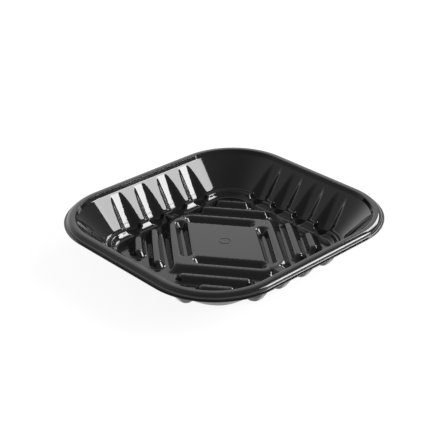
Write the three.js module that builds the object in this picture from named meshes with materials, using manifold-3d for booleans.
// Plastic meat tray, formed in one piece from a thin black sheet.
// Millimetres, +Z up. The origin is on the surface the tray stands on, under its centre.
// X runs across the short sides, Y along the long ones.
//
// The tray is modelled the way it is formed. block(0) is a mould block that ends at the top
// skin of the sheet, block(SHEET) ends at the lower skin, and the sheet is what lies between.

import * as THREE from 'three';
import { mergeVertices } from 'three/addons/utils/BufferGeometryUtils.js';
import Module from 'manifold-3d';

const wasm = await Module();
wasm.setup();

// Sheet and overall size
const SHEET = 0.6;            // thickness of the formed sheet
const HALF_WIDTH = 100;       // lip edge from the centre, along X
const HALF_LENGTH = 107.7;    // lip edge from the centre, along Y
const CORNER_RADIUS = 57;     // of the lip in plan
const DEPTH = 31;             // from the top of the rim to the top skin of the floor

// Rim: a flat sealing band, a rounded shoulder, a skirt and a narrow turned-out lip
const LIP_WIDTH = 1.7;
const LIP_DROP = 4;           // top of the lip below the top of the rim
const SKIRT_DRAFT = 0.5;
const SHOULDER_RADIUS = 1.3;
const BAND_WIDTH = 4;         // flat part of the rim's top

// Wall, from the band to the ledge at its foot
const EDGE_RUN = 2.6;         // rounded edge between the band and the wall
const EDGE_DROP = 3.7;
const WALL_RUN_X = 20;        // how far the short walls lean in
const WALL_RUN_Y = 22;        // how far the long walls lean in
const LEDGE_DEPTH = 26.4;     // below the rim's top
const LEDGE_WIDTH_X = 3.1;
const LEDGE_WIDTH_Y = 5;
const STEP_RUN = 2.2;         // lean of the small step from the ledge down to the floor
const FOOT_ROUND = 1.4;       // rounding at the foot of the wall, the ledge's edge and the step

// Flutes: troughs pressed outward in the walls, with a pocket at the foot of each
const FLUTES = 4;
const FLUTE_PITCH = 24.3;
const FLUTE_START = 0.3;      // the face starts this far inside the wall's top and comes out lower
const FLUTE_TOP_HALF = 5;     // half the flute's width where it starts
const FLUTE_FACE_HALF = 3.3;  // half the width of its face at the foot
const FLUTE_LEAN_X = 16;      // how far the flute's face leans in, on the short walls
const FLUTE_LEAN_Y = 19;
const FLUTE_MOUTH_HALF = 9.3; // half the width of its opening at the ledge
const FLUTE_SPREAD = 0.75;    // the opening widens faster near the top
const FLUTE_LEVELS = [7, 15]; // depths at which the curve of the opening is followed
const POCKET_LEAD = 0.4;      // pockets start this far above the ledge
const FLUTE_PAST = 2;         // the trough's solid runs this far past the wall's plain face
const PAD_TOP_HALF = 3.9;     // half the length of a pad's top, between two pockets
const PAD_FOOT_HALF = 7.1;    // half the length of a pad's foot

// Base: a raised diamond with four slots, and two ribs outside each of its edges
const RIB_ANGLE = 37;         // of ribs, slots and diamond edges to X, in degrees
const RIB_HEIGHT = 5;
const RIB_TOP_HALF = 2.5;
const RIB_FLANK = 3.3;        // how much wider a rib is at its foot, on each side
const RIB_OFFSETS = [54.3, 67.8];   // of the ribs' middle lines from the centre
const RIB_TIP_X = 55;         // ribs end on lines parallel to the walls
const RIB_TIP_Y = 59.5;
const DIAMOND_OFFSET = 41.6;
const DIAMOND_CUT_X = 55.3;   // its long points are cut off here
const DIAMOND_ROUND = 5;
const DIAMOND_FLANK = 4.6;
const NECK_RISE = 0.2;         // a neck joins each long point to the pad behind it, just above the ledge
const SLOT_OFFSET = 31.6;
const SLOT_HALF = 4.8;
const SLOT_FLOOR_HALF = 1;
const SLOT_TIP_X = 50;
const SLOT_TIP_Y = 38.8;
const EDGE_ROUND = 0.7;       // rounding of ribs, slots and diamond
const FOOT_SHARE = 0.6;       // share of that rounding at their feet
const CREST_SHARE = 0.3;      // and at their tops, where the flank ends

// Fineness of round stretches
const CORNER_STEPS = 7;       // half the segments of a corner
const END_STEPS = 4;          // half the segments of a round end

const HEIGHT = DEPTH + SHEET;
const BELOW = 5;              // the mould blocks reach this far under the tray
const ABOVE = 3;              // and their cavities this far over it

const height = (depth) => HEIGHT - depth;
const mix = (a, b, t) => a + (b - a) * t;

// Solids from outlines

function ring(points, z) {
  return points.map((p) => new THREE.Vector3(p.x, p.y, z));
}

// A closed solid through rings that all have the same number of points, lowest ring first.
function loft(rings) {
  const count = rings[0].length;
  const positions = rings.flat().flatMap((p) => [p.x, p.y, p.z]);
  const index = [];
  for (let level = 0; level < rings.length - 1; level++) {
    for (let i = 0; i < count; i++) {
      const a = level * count + i;
      const b = level * count + (i + 1) % count;
      index.push(a, b, b + count, a, b + count, a + count);
    }
  }
  const cap = THREE.ShapeUtils.triangulateShape(rings[0].map((p) => new THREE.Vector2(p.x, p.y)), []);
  const top = (rings.length - 1) * count;
  for (const [a, b, c] of cap) {
    index.push(a, c, b, top + a, top + b, top + c);
  }
  const geometry = new THREE.BufferGeometry();
  geometry.setAttribute('position', new THREE.Float32BufferAttribute(positions, 3));
  geometry.setIndex(index);
  return geometry;
}

function toSolid(geometry) {
  const merged = mergeVertices(geometry, 1e-4);
  return new wasm.Manifold(new wasm.Mesh({
    numProp: 3,
    vertProperties: new Float32Array(merged.attributes.position.array),
    triVerts: new Uint32Array(merged.index.array),
  }));
}

function join(solids) {
  return solids.reduce((sum, solid) => sum.add(solid));
}

// Rim and bowl

function roundedRectangle(halfX, halfY, radius) {
  const shape = new THREE.Shape();
  const quarter = Math.PI / 2;
  shape.absarc(halfX - radius, halfY - radius, radius, 0, quarter);
  shape.absarc(radius - halfX, halfY - radius, radius, quarter, 2 * quarter);
  shape.absarc(radius - halfX, radius - halfY, radius, 2 * quarter, 3 * quarter);
  shape.absarc(halfX - radius, radius - halfY, radius, 3 * quarter, 4 * quarter);
  const points = shape.getPoints(CORNER_STEPS);
  if (points[0].distanceTo(points[points.length - 1]) < 1e-6) {
    points.pop();
  }
  return points;
}

// A ring of the tray at an inset from the lip's edge, which may differ along X and Y.
function trayRing(insetX, insetY, z) {
  const radius = CORNER_RADIUS - (insetX + insetY) / 2;
  return ring(roundedRectangle(HALF_WIDTH - insetX, HALF_LENGTH - insetY, radius), z);
}

const SKIRT = LIP_WIDTH + SKIRT_DRAFT;
const BAND_OUTER = SKIRT + SHOULDER_RADIUS;
const BAND_INNER = BAND_OUTER + BAND_WIDTH;
const WALL_TOP = BAND_INNER + EDGE_RUN;

// The outside of the rim, with the skin moved in by the gap. The lower block runs past the lip.
function rimBlock(gap) {
  const edge = gap > 0 ? -1 : 0;
  const rings = [
    trayRing(edge, edge, -BELOW - gap),
    trayRing(edge, edge, height(LIP_DROP + gap)),
    trayRing(LIP_WIDTH + gap, LIP_WIDTH + gap, height(LIP_DROP + gap)),
    trayRing(SKIRT + gap, SKIRT + gap, height(SHOULDER_RADIUS + gap)),
  ];
  for (const angle of [30, 60, 90]) {
    const turn = THREE.MathUtils.degToRad(angle);
    const inset = SKIRT + gap + SHOULDER_RADIUS * (1 - Math.cos(turn));
    rings.push(trayRing(inset, inset, height(SHOULDER_RADIUS * (1 - Math.sin(turn)) + gap)));
  }
  return toSolid(loft(rings));
}

// Section of the bowl as [inset X, inset Y, depth], from the rim's band down to the floor.
function bowlSection() {
  const footX = WALL_TOP + WALL_RUN_X;
  const footY = WALL_TOP + WALL_RUN_Y;
  const edgeX = footX + LEDGE_WIDTH_X;
  const edgeY = footY + LEDGE_WIDTH_Y;
  const round = FOOT_ROUND;
  return [
    [BAND_INNER, BAND_INNER, 0],
    [BAND_INNER + EDGE_RUN * 0.3, BAND_INNER + EDGE_RUN * 0.3, EDGE_DROP * 0.12],
    [BAND_INNER + EDGE_RUN * 0.57, BAND_INNER + EDGE_RUN * 0.57, EDGE_DROP * 0.42],
    [WALL_TOP, WALL_TOP, EDGE_DROP],
    [footX - round, footY - round, LEDGE_DEPTH - round],
    [footX + round * 0.3, footY + round * 0.3, LEDGE_DEPTH - round * 0.25],
    [edgeX - round * 0.5, edgeY - round * 0.5, LEDGE_DEPTH],
    [edgeX + round * 0.1, edgeY + round * 0.1, LEDGE_DEPTH + round * 0.5],
    [edgeX + STEP_RUN - round * 0.5, edgeY + STEP_RUN - round * 0.5, DEPTH - round],
    [edgeX + STEP_RUN + round * 0.2, edgeY + STEP_RUN + round * 0.2, DEPTH - round * 0.25],
    [edgeX + STEP_RUN + round * 1.4, edgeY + STEP_RUN + round * 1.4, DEPTH],
  ];
}

// How far a vertex of a section moves, across and down, for a skin that lies lower by the gap.
function skinShift(before, at, after, gap) {
  const normal = (a, b) => new THREE.Vector2(-(b[1] - a[1]), b[0] - a[0]).normalize();
  const first = before ? normal(before, at) : normal(at, after);
  const second = after ? normal(at, after) : first;
  const middle = first.clone().add(second).normalize();
  return middle.multiplyScalar(gap / Math.max(0.5, middle.dot(second)));
}

// The space in the tray above its floor, walls and ledge, without flutes and ribs.
function bowl(gap) {
  const section = bowlSection();
  const alongX = section.map(([x, , depth]) => [x, depth]);
  const alongY = section.map(([, y, depth]) => [y, depth]);
  const rings = section.map(([x, y, depth], i) => {
    const shiftX = skinShift(alongX[i - 1], alongX[i], alongX[i + 1], gap);
    const shiftY = skinShift(alongY[i - 1], alongY[i], alongY[i + 1], gap);
    const flat = i === 0 || i === section.length - 1;
    const down = flat ? gap : (shiftX.y + shiftY.y) / 2;
    return trayRing(x + shiftX.x, y + shiftY.x, height(depth + down));
  });
  rings.unshift(trayRing(BAND_INNER - gap, BAND_INNER - gap, HEIGHT + ABOVE));
  return toSolid(loft(rings.reverse()));
}

// Flutes

// Distance of a wall's plain face from the centre at a depth.
function wallAt(half, run, depth) {
  const t = (depth - EDGE_DROP) / (LEDGE_DEPTH - EDGE_DROP);
  return half - WALL_TOP - run * t;
}

// One flute with its pocket, on the wall that faces +X, with its middle at y = 0. Each level is
// a face, two flanks that run past the wall's plain face, and the sides of the pocket.
function flute(wall, gap) {
  const ledge = wallAt(wall.half, wall.run, LEDGE_DEPTH);
  const inside = ledge - wall.ledge - STEP_RUN - 2 * FLUTE_PAST;
  const pocketTop = FLUTE_PITCH / 2 - PAD_TOP_HALF;
  const pocketFoot = FLUTE_PITCH / 2 - PAD_FOOT_HALF;
  const pocketDepth = LEDGE_DEPTH - POCKET_LEAD;
  const levels = [EDGE_DROP - 1, ...FLUTE_LEVELS, pocketDepth, DEPTH + gap];
  const rings = levels.map((depth) => {
    const down = (depth - EDGE_DROP) / (DEPTH - EDGE_DROP);
    const face = wall.half - WALL_TOP - FLUTE_START - wall.lean * down + gap;
    const faceHalf = mix(FLUTE_TOP_HALF, FLUTE_FACE_HALF, Math.max(down, 0)) + gap;
    const upper = THREE.MathUtils.clamp((depth - EDGE_DROP) / (pocketDepth - EDGE_DROP), 0, 1);
    const lower = Math.max(0, (depth - pocketDepth) / (DEPTH - pocketDepth));
    const openHalf = mix(FLUTE_TOP_HALF, FLUTE_MOUTH_HALF, upper ** FLUTE_SPREAD);
    const pocketHalf = mix(pocketTop, pocketFoot, lower) + gap;
    const past = depth < pocketDepth ? FLUTE_PAST : 0;
    const mouth = Math.max(ledge, wallAt(wall.half, wall.run, depth)) - past;
    const mouthHalf = mix(openHalf, pocketFoot, lower) + gap + past * FLUTE_SPREAD;
    const innerHalf = past ? mouthHalf : pocketHalf;
    const half = [
      [face, faceHalf],
      [mouth, mouthHalf],
      [mouth - wall.ledge, innerHalf],
      [inside, innerHalf],
    ];
    const near = half.map(([x, y]) => new THREE.Vector2(x, -y)).reverse();
    const far = half.map(([x, y]) => new THREE.Vector2(x, y));
    return ring([...near, ...far], height(depth));
  });
  return toSolid(loft(rings.reverse()));
}

function flutes(gap) {
  const short = { half: HALF_WIDTH, run: WALL_RUN_X, ledge: LEDGE_WIDTH_X, lean: FLUTE_LEAN_X };
  const long = { half: HALF_LENGTH, run: WALL_RUN_Y, ledge: LEDGE_WIDTH_Y, lean: FLUTE_LEAN_Y };
  const solids = [];
  for (let side = 0; side < 4; side++) {
    const one = flute(side % 2 ? long : short, gap);
    for (let i = 0; i < FLUTES; i++) {
      const along = (i - (FLUTES - 1) / 2) * FLUTE_PITCH;
      solids.push(one.translate([0, along, 0]).rotate([0, 0, 90 * side]));
    }
  }
  return join(solids);
}

// Base

const ANGLE = THREE.MathUtils.degToRad(RIB_ANGLE);

// Outline of a bar with round ends, between two points of its middle line.
function barOutline(start, end, half) {
  const along = Math.atan2(end.y - start.y, end.x - start.x);
  const shape = new THREE.Shape();
  shape.absarc(end.x, end.y, half, along - Math.PI / 2, along + Math.PI / 2);
  shape.absarc(start.x, start.y, half, along + Math.PI / 2, along + 3 * Math.PI / 2);
  const points = shape.getPoints(END_STEPS);
  if (points[0].distanceTo(points[points.length - 1]) < 1e-6) {
    points.pop();
  }
  return points;
}

// Ends of a bar's middle line in the first quadrant, so that its tips touch x = tipX and y = tipY.
function barEnds(offset, half, tipX, tipY) {
  const onLine = (x) => (offset - Math.sin(ANGLE) * x) / Math.cos(ANGLE);
  const onLineY = (y) => (offset - Math.cos(ANGLE) * y) / Math.sin(ANGLE);
  const endX = tipX - half;
  const startY = tipY - half;
  return [new THREE.Vector2(onLineY(startY), startY), new THREE.Vector2(endX, onLine(endX))];
}

// A solid and its mirror images in the other three quadrants.
function quadrants(solid) {
  const half = [solid, solid.mirror([1, 0, 0])];
  return join([...half, ...half.map((s) => s.mirror([0, 1, 0]))]);
}

function rib(offset, gap) {
  const [start, end] = barEnds(offset, RIB_TOP_HALF, RIB_TIP_X, RIB_TIP_Y);
  const top = SHEET + RIB_HEIGHT - gap;
  const foot = SHEET - gap;
  const levels = [
    [RIB_TOP_HALF + RIB_FLANK + EDGE_ROUND, -BELOW / 2],
    [RIB_TOP_HALF + RIB_FLANK + EDGE_ROUND, foot],
    [RIB_TOP_HALF + RIB_FLANK, foot + EDGE_ROUND * FOOT_SHARE],
    [RIB_TOP_HALF + EDGE_ROUND * CREST_SHARE, top - EDGE_ROUND],
    [RIB_TOP_HALF - EDGE_ROUND * (1 - CREST_SHARE), top],
  ];
  return toSolid(loft(levels.map(([half, z]) => ring(barOutline(start, end, half - gap), z))));
}

function slot(gap) {
  const [start, end] = barEnds(SLOT_OFFSET, SLOT_HALF, SLOT_TIP_X, SLOT_TIP_Y);
  const top = SHEET + RIB_HEIGHT - gap;
  const floor = SHEET - gap;
  const levels = [
    [SLOT_FLOOR_HALF, floor],
    [SLOT_FLOOR_HALF + EDGE_ROUND, floor + EDGE_ROUND * (1 - FOOT_SHARE)],
    [SLOT_HALF - EDGE_ROUND * FOOT_SHARE, top - EDGE_ROUND],
    [SLOT_HALF + EDGE_ROUND * FOOT_SHARE, top],
    [SLOT_HALF + EDGE_ROUND * FOOT_SHARE, top + ABOVE],
  ];
  return toSolid(loft(levels.map(([half, z]) => ring(barOutline(start, end, half + gap), z))));
}

// The diamond's outline with round corners, grown by an amount.
function diamondOutline(grow) {
  const offset = DIAMOND_OFFSET + grow;
  const cut = DIAMOND_CUT_X + grow;
  const corner = new THREE.Vector2(cut, (offset - Math.sin(ANGLE) * cut) / Math.cos(ANGLE));
  const point = new THREE.Vector2(0, offset / Math.cos(ANGLE));
  const radius = DIAMOND_ROUND + grow;
  const corners = [
    corner, point, new THREE.Vector2(-corner.x, corner.y),
    new THREE.Vector2(-corner.x, -corner.y), new THREE.Vector2(0, -point.y),
    new THREE.Vector2(corner.x, -corner.y),
  ];
  return corners.flatMap((at, i) => {
    const before = corners[(i + corners.length - 1) % corners.length];
    const after = corners[(i + 1) % corners.length];
    const toBefore = before.clone().sub(at).normalize();
    const toAfter = after.clone().sub(at).normalize();
    const halfTurn = Math.acos(THREE.MathUtils.clamp(toBefore.dot(toAfter), -1, 1)) / 2;
    const reach = radius / Math.tan(halfTurn);
    const curve = new THREE.QuadraticBezierCurve(
      at.clone().addScaledVector(toBefore, reach), at, at.clone().addScaledVector(toAfter, reach));
    return curve.getPoints(END_STEPS);
  });
}

function diamond(gap) {
  const top = SHEET + RIB_HEIGHT - gap;
  const foot = SHEET - gap;
  const levels = [
    [DIAMOND_FLANK + EDGE_ROUND, -BELOW / 2],
    [DIAMOND_FLANK + EDGE_ROUND, foot],
    [DIAMOND_FLANK, foot + EDGE_ROUND * FOOT_SHARE],
    [EDGE_ROUND * CREST_SHARE, top - EDGE_ROUND],
    [-EDGE_ROUND * (1 - CREST_SHARE), top],
  ];
  return toSolid(loft(levels.map(([grow, z]) => ring(diamondOutline(grow - gap), z))));
}

// The bar that runs through under the diamond from the middle pad of one short wall to the other's.
function neck(gap) {
  const top = height(LEDGE_DEPTH - NECK_RISE) - gap;
  const foot = SHEET - gap;
  const reach = HALF_WIDTH - WALL_TOP - WALL_RUN_X - LEDGE_WIDTH_X / 2;
  const levels = [
    [PAD_FOOT_HALF + EDGE_ROUND, -BELOW / 2],
    [PAD_FOOT_HALF + EDGE_ROUND, foot],
    [PAD_FOOT_HALF, foot + EDGE_ROUND * FOOT_SHARE],
    [PAD_TOP_HALF, top - EDGE_ROUND * FOOT_SHARE],
    [PAD_TOP_HALF - EDGE_ROUND, top],
  ];
  const section = ([half, z]) => ring([
    new THREE.Vector2(-reach, gap - half), new THREE.Vector2(reach, gap - half),
    new THREE.Vector2(reach, half - gap), new THREE.Vector2(-reach, half - gap)], z);
  return toSolid(loft(levels.map(section)));
}

function base(gap) {
  const plateau = diamond(gap).add(neck(gap)).subtract(quadrants(slot(gap)));
  return join([plateau, ...RIB_OFFSETS.map((offset) => quadrants(rib(offset, gap)))]);
}

// Sheet

function block(gap) {
  const cavity = bowl(gap).add(flutes(gap)).subtract(base(gap));
  return rimBlock(gap).subtract(cavity);
}

function toGeometry(solid) {
  const mesh = solid.getMesh();
  const geometry = new THREE.BufferGeometry();
  const positions = new Float32Array(mesh.triVerts.length * 3);
  mesh.triVerts.forEach((vertex, i) => {
    positions.set(mesh.vertProperties.subarray(vertex * mesh.numProp, vertex * mesh.numProp + 3), i * 3);
  });
  geometry.setAttribute('position', new THREE.BufferAttribute(positions, 3));
  geometry.computeVertexNormals();
  return geometry;
}

const blackPlastic = new THREE.MeshStandardMaterial({ color: 0x0b0b0c, roughness: 0.12, metalness: 0 });

const tray = new THREE.Mesh(toGeometry(block(0).subtract(block(SHEET))), blackPlastic);
tray.name = 'tray';

const model = new THREE.Group();
model.add(tray);

export default model;
